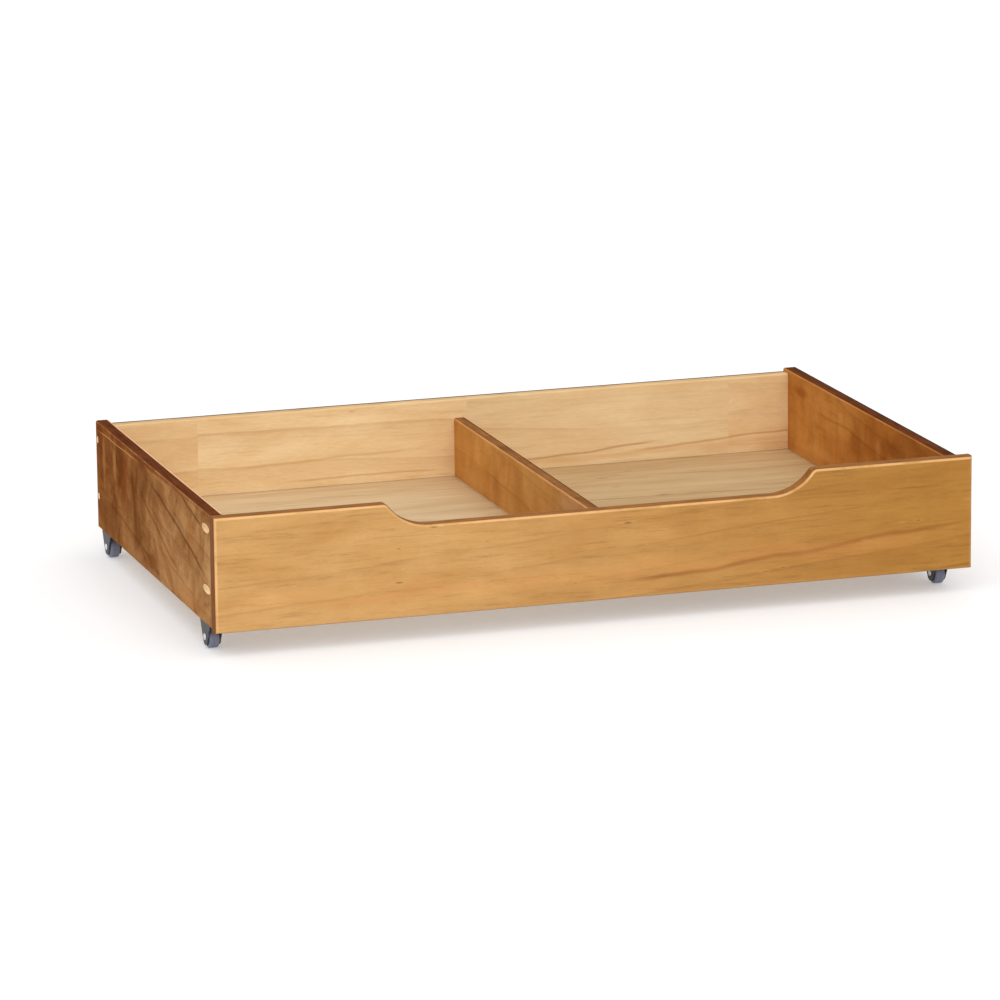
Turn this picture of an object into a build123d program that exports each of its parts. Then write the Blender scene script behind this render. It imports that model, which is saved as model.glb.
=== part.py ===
from build123d import *
import math
import os

os.makedirs("parts", exist_ok=True)

# ----------------------------------------------------------------------------
# Low wooden under-bed storage box on four small fixed castors.
# Frame: millimetres, +X along the long front, +Y from the front to the back,
# +Z up.  Origin: on the floor, under the middle of the outer box.
# ----------------------------------------------------------------------------

# overall size
LENGTH = 835.7            # outer length of the front board
DEPTH = 500.0             # front face to back face
HEIGHT = 148.1            # floor to the top edge of the front board
BOARD_Z = 28.0            # underside of sides and back = castor height
FRONT_Z = 25.5            # the front board hangs a little lower

# boards
T = 15.0                  # thickness of front, sides and back
OVERHANG_RIGHT = 12.85    # front board runs past the right side board
BACK_DROP = 3.9           # back board sits this much below the side tops
EDGE_R = 2.2              # rounded board edges
FRONT_R = 4.0             # rounded outline of the front face
SMALL_R = 1.0             # eased hidden edges

X0 = -LENGTH / 2          # left end of the box
X1 = LENGTH / 2           # right end of the front board
Y0 = -DEPTH / 2           # front face
Y1 = DEPTH / 2            # back face
FRONT_IN = Y0 + T         # rear face of the front board
BACK_IN = Y1 - T          # front face of the back board
LEFT_IN = X0 + T          # inner face of the left side
RIGHT_OUT = X1 - OVERHANG_RIGHT
RIGHT_IN = RIGHT_OUT - T  # inner face of the right side
SIDE_LEN = Y1 - FRONT_IN
BOARD_H = HEIGHT - BOARD_Z

# hand scoop in the top of the front board
SCOOP_X = 2.5             # middle of the scoop
SCOOP_DEPTH = 25.0
SCOOP_FLAT = 189.0        # half length of its flat bottom
SCOOP_R = 55.0            # concave ends
SCOOP_LIP_R = 8.0         # convex corner at the top edge

# plywood floor held in grooves
FLOOR_T = 5.0
FLOOR_TOP = 56.0
GROOVE_W = 5.3
GROOVE_D = 6.25
TONGUE = 6.0

# divider across the middle
DIV_T = 13.0
DIV_X = -2.5
DIV_TOP = 122.3

# pocket screws: sides to front board
POCKET_Z = (66.2, 131.0)
POCKET_Y = -218.0         # middle of the oval opening in the outer face
POCKET_R = 4.25
POCKET_TILT = 18.0        # degrees between the screw and the board's face
POCKET_BEHIND = 13.3      # opening centre to the shoulder, along the screw
PS_HEAD_R = 3.2
PS_HEAD_H = 2.0
PS_R = 1.9
PS_LEN = 16.0

# rear screws and their plugs: sides to back board
REAR_Z = (64.0, 127.5)
REAR_Y = Y1 - T / 2
PLUG_R = 4.0
PLUG_T = 4.0
WS_HEAD_R = 3.5
WS_HEAD_H = 2.0
WS_RIM = 0.3              # straight rim of the countersunk head
WS_R = 1.75
WS_LEN = 34.0

# divider fixings
DIV_FIX_Z = (74.0, 104.0)
DOWEL_R = 3.0
DOWEL_FRONT = 10.0
DOWEL_DIV = 14.0

# castors
CAST_W = 15.0             # over the two legs
CAST_PLATE = 38.0         # plate length along Y
CAST_T = 1.2              # sheet thickness
CAST_END = 32.5           # axle to the end of the side board
CAST_Y = (FRONT_IN + CAST_END, Y1 - CAST_END)
CAST_X_LEFT = X0 + 8.55
CAST_X_RIGHT = RIGHT_OUT - 8.55
WHEEL_R = 12.0
WHEEL_W = 11.0
HUB_W = 12.2
AXLE_R = 2.5
AXLE_PLAY = 0.06
LEG_R = 8.8               # rounded leg end about the axle
RIVET_R = 3.7
RIVET_H = 1.0             # domed head, proud of the leg
CS_HEAD_R = 3.1
CS_HEAD_H = 1.9
CS_R = 1.7
CS_LEN = 12.0
CS_DY = 14.5              # screw distance from the axle, along Y
FIT = 0.04                # radial room around fasteners in wood


def pocket_plane(side, z):
    """Plane square to a pocket screw, at the middle of its oval opening.
    Its normal leaves the board: outwards and to the rear."""
    a = math.radians(POCKET_TILT)
    if side == "left":
        return Plane(origin=(X0, POCKET_Y, z), x_dir=(0, 0, 1),
                     z_dir=(-math.sin(a), math.cos(a), 0))
    return Plane(origin=(RIGHT_OUT, POCKET_Y, z), x_dir=(0, 0, 1),
                 z_dir=(math.sin(a), math.cos(a), 0))


# ----------------------------------------------------------------------------
# front board, full length, with the hand scoop
# ----------------------------------------------------------------------------
front_plane = Plane(origin=(0, FRONT_IN, 0), x_dir=(1, 0, 0), z_dir=(0, -1, 0))
scoop_z = HEIGHT - SCOOP_DEPTH
arc_dx = math.sqrt(SCOOP_R ** 2 - (SCOOP_R - SCOOP_DEPTH) ** 2)
arc_mid = math.radians(-90) + 0.5 * math.atan2(arc_dx, SCOOP_R - SCOOP_DEPTH)
scoop_top = SCOOP_FLAT + arc_dx
sx = SCOOP_X

with BuildPart() as front_panel:
    with BuildSketch(front_plane) as front_outline:
        with BuildLine() as outline:
            Polyline((sx - scoop_top, HEIGHT), (X0, HEIGHT), (X0, FRONT_Z),
                     (X1, FRONT_Z), (X1, HEIGHT), (sx + scoop_top, HEIGHT))
            ThreePointArc(
                (sx + scoop_top, HEIGHT),
                (sx + SCOOP_FLAT + SCOOP_R * math.cos(arc_mid),
                 scoop_z + SCOOP_R + SCOOP_R * math.sin(arc_mid)),
                (sx + SCOOP_FLAT, scoop_z))
            Line((sx + SCOOP_FLAT, scoop_z), (sx - SCOOP_FLAT, scoop_z))
            ThreePointArc(
                (sx - SCOOP_FLAT, scoop_z),
                (sx - SCOOP_FLAT - SCOOP_R * math.cos(arc_mid),
                 scoop_z + SCOOP_R + SCOOP_R * math.sin(arc_mid)),
                (sx - scoop_top, HEIGHT))
        make_face()
        lips = [v for v in front_outline.vertices()
                if abs(abs(v.X - sx) - scoop_top) < 0.01]
        fillet(lips, radius=SCOOP_LIP_R)
    extrude(amount=T)
    # rounded outline of the front face, and of the rear face's top edges
    front_face = front_panel.faces().sort_by(Axis.Y)[0]
    fillet(front_face.edges(), radius=FRONT_R)
    rear_face = front_panel.faces().sort_by(Axis.Y)[-1]
    rear_top = [e for e in rear_face.edges()
                if e.bounding_box().min.Z > scoop_z - 0.5
                and abs(e.center().X) < X1 - 1.0]
    fillet(rear_top, radius=EDGE_R)
    # groove for the floor
    with BuildSketch(Plane.XY.offset(FLOOR_TOP - FLOOR_T - 0.15)):
        with Locations(((LEFT_IN + RIGHT_IN) / 2, FRONT_IN - GROOVE_D / 2)):
            Rectangle(RIGHT_IN - LEFT_IN + 2 * GROOVE_D, GROOVE_D)
    extrude(amount=GROOVE_W, mode=Mode.SUBTRACT)
    # blind pilot holes for the pocket screws
    for side in ("left", "right"):
        for z in POCKET_Z:
            with BuildSketch(pocket_plane(side, z).offset(-POCKET_BEHIND)):
                Circle(PS_R + FIT)
            extrude(amount=-(PS_LEN + 0.5), mode=Mode.SUBTRACT)
    # blind dowel holes for the divider
    with BuildSketch(Plane(origin=(0, FRONT_IN, 0), x_dir=(1, 0, 0),
                           z_dir=(0, -1, 0))):
        with Locations(*[(DIV_X, z) for z in DIV_FIX_Z]):
            Circle(DOWEL_R + FIT)
    extrude(amount=DOWEL_FRONT + 0.5, mode=Mode.SUBTRACT)
front_panel.part.label = "front_panel"
export_step(front_panel.part, "parts/front_panel.step")


# ----------------------------------------------------------------------------
# side boards: run from the front board to the back face
# ----------------------------------------------------------------------------
def side_board(side):
    x_out = X0 if side == "left" else RIGHT_OUT
    x_in = LEFT_IN if side == "left" else RIGHT_IN
    inward = 1 if side == "left" else -1
    xc = (x_out + x_in) / 2
    cast_x = CAST_X_LEFT if side == "left" else CAST_X_RIGHT
    with BuildPart() as board:
        with BuildSketch(Plane.XY.offset(BOARD_Z)):
            with Locations((xc, (FRONT_IN + Y1) / 2)):
                Rectangle(T, SIDE_LEN)
        extrude(amount=BOARD_H)
        along_y = board.edges().filter_by(Axis.Y)
        top_long = along_y.group_by(Axis.Z)[-1]
        rear_top = board.edges().filter_by(Axis.X).group_by(Axis.Z)[-1].sort_by(Axis.Y)[-1:]
        rear_outer = [e for e in board.edges().filter_by(Axis.Z)
                      if e.center().Y > Y1 - 1 and abs(e.center().X - x_out) < 0.1]
        fillet(top_long + rear_top + rear_outer, radius=EDGE_R)
        low = [e for e in board.edges().filter_by(Axis.Y)
               if abs(e.center().Z - BOARD_Z) < 0.1]
        fillet(low, radius=SMALL_R)
        # groove for the floor, stopped inside the back joint
        with BuildSketch(Plane.XY.offset(FLOOR_TOP - FLOOR_T - 0.15)):
            with Locations((x_in - inward * GROOVE_D / 2,
                            (FRONT_IN + BACK_IN + GROOVE_D) / 2)):
                Rectangle(GROOVE_D, BACK_IN + GROOVE_D - FRONT_IN)
        extrude(amount=GROOVE_W, mode=Mode.SUBTRACT)
        # slanted pockets that open in the outer face, then the pilot holes
        for z in POCKET_Z:
            shoulder = pocket_plane(side, z).offset(-POCKET_BEHIND)
            with BuildSketch(shoulder):
                Circle(POCKET_R)
            extrude(amount=POCKET_BEHIND + 22, mode=Mode.SUBTRACT)
            with BuildSketch(shoulder):
                Circle(PS_R + FIT)
            extrude(amount=-12, mode=Mode.SUBTRACT)
        # plugged, counterbored holes for the rear screws
        outer = Plane(origin=(x_out, REAR_Y, 0), x_dir=(0, 1, 0),
                      z_dir=(inward, 0, 0))
        with BuildSketch(outer):
            with Locations(*[outer.to_local_coords(Vector(x_out, REAR_Y, z)) for z in REAR_Z]):
                Circle(PLUG_R + FIT)
        extrude(amount=PLUG_T + WS_HEAD_H + 0.1, mode=Mode.SUBTRACT)
        with BuildSketch(outer):
            with Locations(*[outer.to_local_coords(Vector(x_out, REAR_Y, z)) for z in REAR_Z]):
                Circle(WS_R + FIT)
        extrude(amount=T + 1, mode=Mode.SUBTRACT)
        # castor screw pilots in the bottom edge
        with BuildSketch(Plane.XY.offset(BOARD_Z)):
            with Locations(*[(cast_x, cy + dy)
                             for cy in CAST_Y for dy in (-CS_DY, CS_DY)]):
                Circle(CS_R + FIT)
        extrude(amount=CS_LEN - CAST_T + 0.5, mode=Mode.SUBTRACT)
    board.part.label = side + "_side_panel"
    export_step(board.part, "parts/" + side + "_side_panel.step")
    return board.part


left_side_panel = side_board("left")
right_side_panel = side_board("right")


# ----------------------------------------------------------------------------
# back board, between the sides, a little lower than they are
# ----------------------------------------------------------------------------
BACK_TOP = HEIGHT - BACK_DROP
with BuildPart() as back_panel:
    with BuildSketch(Plane.XY.offset(BOARD_Z)):
        with Locations(((LEFT_IN + RIGHT_IN) / 2, (BACK_IN + Y1) / 2)):
            Rectangle(RIGHT_IN - LEFT_IN, T)
    extrude(amount=BACK_TOP - BOARD_Z)
    fillet(back_panel.edges().filter_by(Axis.X).group_by(Axis.Z)[-1], radius=EDGE_R)
    fillet(back_panel.edges().filter_by(Axis.X).group_by(Axis.Z)[0], radius=SMALL_R)
    with BuildSketch(Plane.XY.offset(FLOOR_TOP - FLOOR_T - 0.15)):
        with Locations(((LEFT_IN + RIGHT_IN) / 2, BACK_IN + GROOVE_D / 2)):
            Rectangle(RIGHT_IN - LEFT_IN, GROOVE_D)
    extrude(amount=GROOVE_W, mode=Mode.SUBTRACT)
    # pilot holes in both ends for the rear screws
    for x_end, direction in ((LEFT_IN, 1), (RIGHT_IN, -1)):
        end = Plane(origin=(x_end, REAR_Y, 0), x_dir=(0, 1, 0),
                    z_dir=(direction, 0, 0))
        with BuildSketch(end):
            with Locations(*[end.to_local_coords(Vector(x_end, REAR_Y, z)) for z in REAR_Z]):
                Circle(WS_R + FIT)
        extrude(amount=WS_LEN - T + 6, mode=Mode.SUBTRACT)
    # countersunk holes for the divider screws, from the rear face
    rear = Plane(origin=(0, Y1, 0), x_dir=(-1, 0, 0), z_dir=(0, 1, 0))
    with BuildSketch(rear):
        with Locations(*[(-DIV_X, z) for z in DIV_FIX_Z]):
            Circle(WS_HEAD_R + FIT)
    extrude(amount=-WS_RIM, mode=Mode.SUBTRACT)
    with Locations(*[rear.offset(-WS_RIM) * Location((-DIV_X, z, 0))
                     for z in DIV_FIX_Z]):
        CounterSinkHole(radius=WS_R + FIT, counter_sink_radius=WS_HEAD_R + FIT,
                        depth=T, counter_sink_angle=90)
back_panel.part.label = "back_panel"
export_step(back_panel.part, "parts/back_panel.step")


# ----------------------------------------------------------------------------
# divider, standing on the floor between the front and the back
# ----------------------------------------------------------------------------
with BuildPart() as divider:
    with BuildSketch(Plane.XY.offset(FLOOR_TOP)):
        with Locations((DIV_X, (FRONT_IN + BACK_IN) / 2)):
            Rectangle(DIV_T, BACK_IN - FRONT_IN)
    extrude(amount=DIV_TOP - FLOOR_TOP)
    fillet(divider.edges().filter_by(Axis.Y).group_by(Axis.Z)[-1], radius=EDGE_R)
    with BuildSketch(Plane(origin=(0, FRONT_IN, 0), x_dir=(-1, 0, 0),
                           z_dir=(0, 1, 0))):
        with Locations(*[(-DIV_X, z) for z in DIV_FIX_Z]):
            Circle(DOWEL_R + FIT)
    extrude(amount=DOWEL_DIV + 0.5, mode=Mode.SUBTRACT)
    with BuildSketch(Plane(origin=(0, BACK_IN, 0), x_dir=(1, 0, 0),
                           z_dir=(0, -1, 0))):
        with Locations(*[(DIV_X, z) for z in DIV_FIX_Z]):
            Circle(WS_R + FIT)
    extrude(amount=WS_LEN - T + 0.5, mode=Mode.SUBTRACT)
divider.part.label = "divider"
export_step(divider.part, "parts/divider.step")


# ----------------------------------------------------------------------------
# plywood floor with its edges in the grooves
# ----------------------------------------------------------------------------
with BuildPart() as bottom_panel:
    with BuildSketch(Plane.XY.offset(FLOOR_TOP - FLOOR_T)):
        with Locations(((LEFT_IN + RIGHT_IN) / 2, 0)):
            Rectangle(RIGHT_IN - LEFT_IN + 2 * TONGUE, BACK_IN - FRONT_IN + 2 * TONGUE)
    extrude(amount=FLOOR_T)
bottom_panel.part.label = "bottom_panel"
export_step(bottom_panel.part, "parts/bottom_panel.step")


# ----------------------------------------------------------------------------
# fasteners
# ----------------------------------------------------------------------------
with BuildPart() as pocket_screws:
    for side in ("left", "right"):
        for z in POCKET_Z:
            shoulder = pocket_plane(side, z).offset(-POCKET_BEHIND)
            with BuildSketch(shoulder):
                Circle(PS_HEAD_R)
            extrude(amount=PS_HEAD_H)
            with BuildSketch(shoulder):
                Circle(PS_R)
            extrude(amount=-(PS_LEN - 3))
            with BuildSketch(shoulder.offset(-(PS_LEN - 3))):
                Circle(PS_R)
            extrude(amount=-3, taper=24)
            with BuildSketch(shoulder.offset(PS_HEAD_H - 1.4)):
                Rectangle(2.6, 2.6)
            extrude(amount=1.5, mode=Mode.SUBTRACT)
pocket_screws.part.label = "pocket_screws"
export_step(pocket_screws.part, "parts/pocket_screws.step")


# countersunk screws: the head's top lies just under the seat plane and the
# shank runs along the plane's -z
rear_seats = [Plane(origin=(x_out + inward * PLUG_T, REAR_Y, z),
                    x_dir=(0, 1, 0), z_dir=(-inward, 0, 0))
              for x_out, inward in ((X0, 1), (RIGHT_OUT, -1)) for z in REAR_Z]
divider_seats = [Plane(origin=(DIV_X, Y1, z), x_dir=(1, 0, 0), z_dir=(0, 1, 0))
                 for z in DIV_FIX_Z]
WS_TOP = 0.05             # head's top below the seat plane
WS_CONE = WS_HEAD_R - WS_R
WS_NECK = WS_RIM - 0.02 + WS_CONE

for node_name, seats in (("rear_screws", rear_seats),
                         ("divider_screws", divider_seats)):
    with BuildPart() as screws:
        for seat in seats:
            with BuildSketch(seat.offset(-WS_TOP)):
                Circle(WS_HEAD_R)
            extrude(amount=-(WS_RIM - 0.02 - WS_TOP))
            with BuildSketch(seat.offset(-(WS_RIM - 0.02))):
                Circle(WS_HEAD_R)
            extrude(amount=-WS_CONE, taper=45)
            with BuildSketch(seat.offset(-WS_NECK)):
                Circle(WS_R)
            extrude(amount=-(WS_LEN - WS_NECK - 4))
            with BuildSketch(seat.offset(-(WS_LEN - 4))):
                Circle(WS_R)
            extrude(amount=-4, taper=20)
            with BuildSketch(seat.offset(-1.5)):
                Rectangle(3.6, 0.9)
                Rectangle(0.9, 3.6)
            extrude(amount=2, mode=Mode.SUBTRACT)
    screws.part.label = node_name
    export_step(screws.part, "parts/" + node_name + ".step")

with BuildPart() as rear_screw_plugs:
    for x_out, inward in ((X0, 1), (RIGHT_OUT, -1)):
        for z in REAR_Z:
            with BuildSketch(Plane(origin=(x_out, REAR_Y, z), x_dir=(0, 1, 0),
                                   z_dir=(inward, 0, 0))):
                Circle(PLUG_R)
            extrude(amount=PLUG_T)
    fillet(rear_screw_plugs.edges().filter_by(GeomType.CIRCLE).group_by(Axis.X)[0]
           + rear_screw_plugs.edges().filter_by(GeomType.CIRCLE).group_by(Axis.X)[-1],
           radius=0.4)
rear_screw_plugs.part.label = "rear_screw_plugs"
export_step(rear_screw_plugs.part, "parts/rear_screw_plugs.step")

with BuildPart() as divider_dowels:
    for z in DIV_FIX_Z:
        with BuildSketch(Plane(origin=(DIV_X, FRONT_IN - DOWEL_FRONT, z),
                               x_dir=(-1, 0, 0), z_dir=(0, 1, 0))):
            Circle(DOWEL_R)
        extrude(amount=DOWEL_FRONT + DOWEL_DIV)
    chamfer(divider_dowels.edges().filter_by(GeomType.CIRCLE), length=0.7)
divider_dowels.part.label = "divider_dowels"
export_step(divider_dowels.part, "parts/divider_dowels.step")

with BuildPart() as caster_screws:
    for cx in (CAST_X_LEFT, CAST_X_RIGHT):
        for cy in CAST_Y:
            for dy in (-CS_DY, CS_DY):
                seat = Plane(origin=(cx, cy + dy, BOARD_Z - CAST_T),
                             x_dir=(1, 0, 0), z_dir=(0, 0, 1))
                with BuildSketch(seat.offset(-CS_HEAD_H)):
                    Circle(CS_HEAD_R)
                extrude(amount=CS_HEAD_H)
                with BuildSketch(seat):
                    Circle(CS_R)
                extrude(amount=CS_LEN - 2.5)
                with BuildSketch(seat.offset(CS_LEN - 2.5)):
                    Circle(CS_R)
                extrude(amount=2.5, taper=25)
                with BuildSketch(seat.offset(-CS_HEAD_H)):
                    Rectangle(3.4, 0.8)
                    Rectangle(0.8, 3.4)
                extrude(amount=1.2, mode=Mode.SUBTRACT)
    heads = [e for e in caster_screws.edges().filter_by(GeomType.CIRCLE)
             if abs(e.radius - CS_HEAD_R) < 0.01
             and e.center().Z < BOARD_Z - CAST_T - CS_HEAD_H + 0.1]
    fillet(heads, radius=0.9)
caster_screws.part.label = "caster_screws"
export_step(caster_screws.part, "parts/caster_screws.step")


# ----------------------------------------------------------------------------
# fixed castors: pressed bracket, wheel, riveted axle
# ----------------------------------------------------------------------------
def castor(name, cx, cy):
    centre = Plane(origin=(cx, cy, WHEEL_R), x_dir=(1, 0, 0), z_dir=(0, -1, 0))
    side = Plane(origin=(cx, cy, WHEEL_R), x_dir=(0, 1, 0), z_dir=(1, 0, 0))
    top = BOARD_Z - WHEEL_R
    half = CAST_PLATE / 2
    # tangent from the leg's top corner to its rounded end
    px, pz = half - 1.0, top - CAST_T
    tang = math.atan2(pz, px) - math.acos(LEG_R / math.hypot(px, pz))
    tx, tz = LEG_R * math.cos(tang), LEG_R * math.sin(tang)

    with BuildPart() as bracket:
        # U section, legs down
        with BuildSketch(centre.offset(-half)) as section:
            with Locations((0, (top - LEG_R) / 2)):
                Rectangle(CAST_W, top + LEG_R)
            outer_top = section.vertices().group_by(Axis.Y)[-1]
            fillet(outer_top, radius=2.0)
            with Locations((0, (top - CAST_T - LEG_R) / 2 - 1)):
                Rectangle(CAST_W - 2 * CAST_T, top - CAST_T + LEG_R + 2,
                          mode=Mode.SUBTRACT)
        extrude(amount=CAST_PLATE)
        # tapered legs with rounded ends
        with BuildSketch(side.offset(-CAST_W)):
            Circle(LEG_R)
            with BuildLine():
                Polyline((-half, top + 1), (-half, pz), (-px, pz), (-tx, tz),
                         (tx, tz), (px, pz), (half, pz), (half, top + 1),
                         (-half, top + 1))
            make_face()
        extrude(amount=2 * CAST_W, mode=Mode.INTERSECT)
        # screw holes and axle hole
        with BuildSketch(Plane(origin=(cx, cy, BOARD_Z), x_dir=(1, 0, 0),
                               z_dir=(0, 0, 1))):
            with Locations((0, CS_DY), (0, -CS_DY)):
                Circle(CS_R + 0.1)
        extrude(amount=-CAST_T - 0.1, mode=Mode.SUBTRACT)
        with BuildSketch(side.offset(-CAST_W)):
            Circle(AXLE_R + 0.02)
        extrude(amount=2 * CAST_W, mode=Mode.SUBTRACT)
    bracket.part.label = name + "_caster_bracket"
    export_step(bracket.part, "parts/" + name + "_caster_bracket.step")

    # wheel: hub bosses, thin web, rounded tread
    with BuildPart() as wheel:
        with BuildSketch(centre) as profile:
            with BuildLine():
                Polyline((-HUB_W / 2, AXLE_R + AXLE_PLAY),
                         (-HUB_W / 2, 4.6),
                         (-WHEEL_W / 2 + 1.6, 5.0),
                         (-WHEEL_W / 2 + 1.6, 9.0),
                         (-WHEEL_W / 2, 9.4),
                         (-WHEEL_W / 2, WHEEL_R),
                         (WHEEL_W / 2, WHEEL_R),
                         (WHEEL_W / 2, 9.4),
                         (WHEEL_W / 2 - 1.6, 9.0),
                         (WHEEL_W / 2 - 1.6, 5.0),
                         (HUB_W / 2, 4.6),
                         (HUB_W / 2, AXLE_R + AXLE_PLAY),
                         (-HUB_W / 2, AXLE_R + AXLE_PLAY))
            make_face()
            tread = profile.vertices().group_by(Axis.Y)[-1]
            fillet(tread, radius=2.2)
        revolve(axis=Axis((cx, cy, WHEEL_R), (1, 0, 0)))
    wheel.part.label = name + "_wheel"
    export_step(wheel.part, "parts/" + name + "_wheel.step")

    # axle: plain shank, domed rivet heads outside the legs
    x_head = CAST_W / 2 + 0.02
    with BuildPart() as axle:
        with BuildSketch(side.offset(-x_head)):
            Circle(AXLE_R)
        extrude(amount=2 * x_head)
        with BuildSketch(side.offset(x_head)):
            Circle(RIVET_R)
        extrude(amount=RIVET_H)
        with BuildSketch(side.offset(-x_head)):
            Circle(RIVET_R)
        extrude(amount=-RIVET_H)
        rims = axle.edges().filter_by(GeomType.CIRCLE)
        fillet(rims.group_by(Axis.X)[0] + rims.group_by(Axis.X)[-1],
               radius=0.9 * RIVET_H)
    axle.part.label = name + "_axle"
    export_step(axle.part, "parts/" + name + "_axle.step")
    return bracket.part, wheel.part, axle.part


castor("front_left", CAST_X_LEFT, CAST_Y[0])
castor("front_right", CAST_X_RIGHT, CAST_Y[0])
castor("rear_left", CAST_X_LEFT, CAST_Y[1])
castor("rear_right", CAST_X_RIGHT, CAST_Y[1])

print("castor centres x", CAST_X_LEFT, CAST_X_RIGHT, "divider x", DIV_X)
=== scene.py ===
import math

import bpy
from mathutils import Matrix, Vector


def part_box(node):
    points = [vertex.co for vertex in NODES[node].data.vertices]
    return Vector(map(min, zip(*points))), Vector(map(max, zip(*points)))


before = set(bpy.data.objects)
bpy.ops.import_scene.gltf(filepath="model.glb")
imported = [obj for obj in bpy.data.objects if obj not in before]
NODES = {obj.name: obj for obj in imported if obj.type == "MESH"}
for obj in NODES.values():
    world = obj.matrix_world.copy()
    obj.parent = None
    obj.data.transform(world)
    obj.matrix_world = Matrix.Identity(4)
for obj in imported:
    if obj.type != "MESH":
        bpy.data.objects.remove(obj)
bpy.context.view_layer.update()


# ---------------------------------------------------------------------------
# a small language for node trees: numbers, sockets and colours can be mixed
# ---------------------------------------------------------------------------
def lin(r, g, b):
    """8-bit display colour to linear RGBA."""
    def f(c):
        c = c / 255.0
        return c / 12.92 if c <= 0.04045 else ((c + 0.055) / 1.055) ** 2.4
    return (f(r), f(g), f(b), 1.0)


class Tree:
    def __init__(self, name):
        self.mat = bpy.data.materials.new(name)
        self.mat.use_nodes = True
        self.nt = self.mat.node_tree
        self.nt.nodes.clear()
        self.out = self.nt.nodes.new("ShaderNodeOutputMaterial")
        self.bsdf = self.nt.nodes.new("ShaderNodeBsdfPrincipled")
        self.nt.links.new(self.bsdf.outputs["BSDF"], self.out.inputs["Surface"])
        self.tc = self.nt.nodes.new("ShaderNodeTexCoord")
        self.P = self.tc.outputs["Object"]
        self.N = self.tc.outputs["Normal"]
        self.x, self.y, self.z = self.sep(self.P)

    def put(self, sock, v):
        if isinstance(v, bpy.types.NodeSocket):
            self.nt.links.new(v, sock)
        else:
            sock.default_value = v

    def sep(self, v):
        n = self.nt.nodes.new("ShaderNodeSeparateXYZ")
        self.put(n.inputs[0], v)
        return n.outputs[0], n.outputs[1], n.outputs[2]

    def comb(self, x, y, z):
        n = self.nt.nodes.new("ShaderNodeCombineXYZ")
        for i, v in enumerate((x, y, z)):
            self.put(n.inputs[i], v)
        return n.outputs[0]

    def m(self, op, a, b=None, c=None, clamp=False):
        n = self.nt.nodes.new("ShaderNodeMath")
        n.operation = op
        n.use_clamp = clamp
        for i, v in enumerate((a, b, c)):
            if v is not None:
                self.put(n.inputs[i], v)
        return n.outputs[0]

    def add(self, a, b): return self.m("ADD", a, b)
    def sub(self, a, b): return self.m("SUBTRACT", a, b)
    def mul(self, a, b): return self.m("MULTIPLY", a, b)
    def mx(self, a, b): return self.m("MAXIMUM", a, b)
    def mn(self, a, b): return self.m("MINIMUM", a, b)
    def ab(self, a): return self.m("ABSOLUTE", a)
    def mad(self, a, b, c): return self.m("MULTIPLY_ADD", a, b, c)

    def length(self, v):
        n = self.nt.nodes.new("ShaderNodeVectorMath")
        n.operation = "LENGTH"
        self.put(n.inputs[0], v)
        return n.outputs["Value"]

    def v(self, op, a, b):
        n = self.nt.nodes.new("ShaderNodeVectorMath")
        n.operation = op
        self.put(n.inputs[0], a)
        self.put(n.inputs[1], b)
        return n.outputs["Value"] if op == "DOT_PRODUCT" else n.outputs["Vector"]

    def noise(self, vec, detail=2.0, rough=0.5, dist=0.0, color=False):
        n = self.nt.nodes.new("ShaderNodeTexNoise")
        n.noise_dimensions = "3D"
        self.put(n.inputs["Vector"], vec)
        n.inputs["Scale"].default_value = 1.0
        n.inputs["Detail"].default_value = detail
        n.inputs["Roughness"].default_value = rough
        n.inputs["Distortion"].default_value = dist
        return n.outputs["Color" if color else "Fac"]

    def voronoi(self, vec, rand=1.0):
        n = self.nt.nodes.new("ShaderNodeTexVoronoi")
        n.voronoi_dimensions = "3D"
        n.feature = "F1"
        self.put(n.inputs["Vector"], vec)
        n.inputs["Scale"].default_value = 1.0
        n.inputs["Randomness"].default_value = rand
        return n.outputs["Distance"], n.outputs["Color"]

    def white(self, vec):
        n = self.nt.nodes.new("ShaderNodeTexWhiteNoise")
        n.noise_dimensions = "3D"
        self.put(n.inputs["Vector"], vec)
        return n.outputs["Value"]

    def step(self, v, lo, hi, a=0.0, b=1.0):
        """Smooth step of v from lo to hi, giving a to b."""
        n = self.nt.nodes.new("ShaderNodeMapRange")
        n.interpolation_type = "SMOOTHSTEP"
        self.put(n.inputs["Value"], v)
        self.put(n.inputs["From Min"], lo)
        self.put(n.inputs["From Max"], hi)
        n.inputs["To Min"].default_value = a
        n.inputs["To Max"].default_value = b
        return n.outputs[0]

    def ramp(self, fac, stops):
        n = self.nt.nodes.new("ShaderNodeValToRGB")
        self.put(n.inputs[0], fac)
        e = n.color_ramp.elements
        while len(e) < len(stops):
            e.new(0.5)
        for i, (p, c) in enumerate(stops):
            e[i].position = p
            e[i].color = c if len(c) == 4 else (*c, 1.0)
        return n.outputs["Color"]

    def mix(self, fac, a, b, blend="MIX"):
        n = self.nt.nodes.new("ShaderNodeMix")
        n.data_type = "RGBA"
        n.blend_type = blend
        n.clamp_factor = True
        self.put(n.inputs[0], fac)
        self.put(n.inputs[6], a)
        self.put(n.inputs[7], b)
        return n.outputs[2]

    def scale_col(self, col, k):
        """Colour times a number."""
        return self.mix(1.0, col, self.comb(k, k, k), "MULTIPLY")

    def bump(self, height, dist, strength=1.0, normal=None):
        n = self.nt.nodes.new("ShaderNodeBump")
        self.put(n.inputs["Height"], height)
        n.inputs["Distance"].default_value = dist
        n.inputs["Strength"].default_value = strength
        if normal is not None:
            self.put(n.inputs["Normal"], normal)
        return n.outputs[0]

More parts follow.
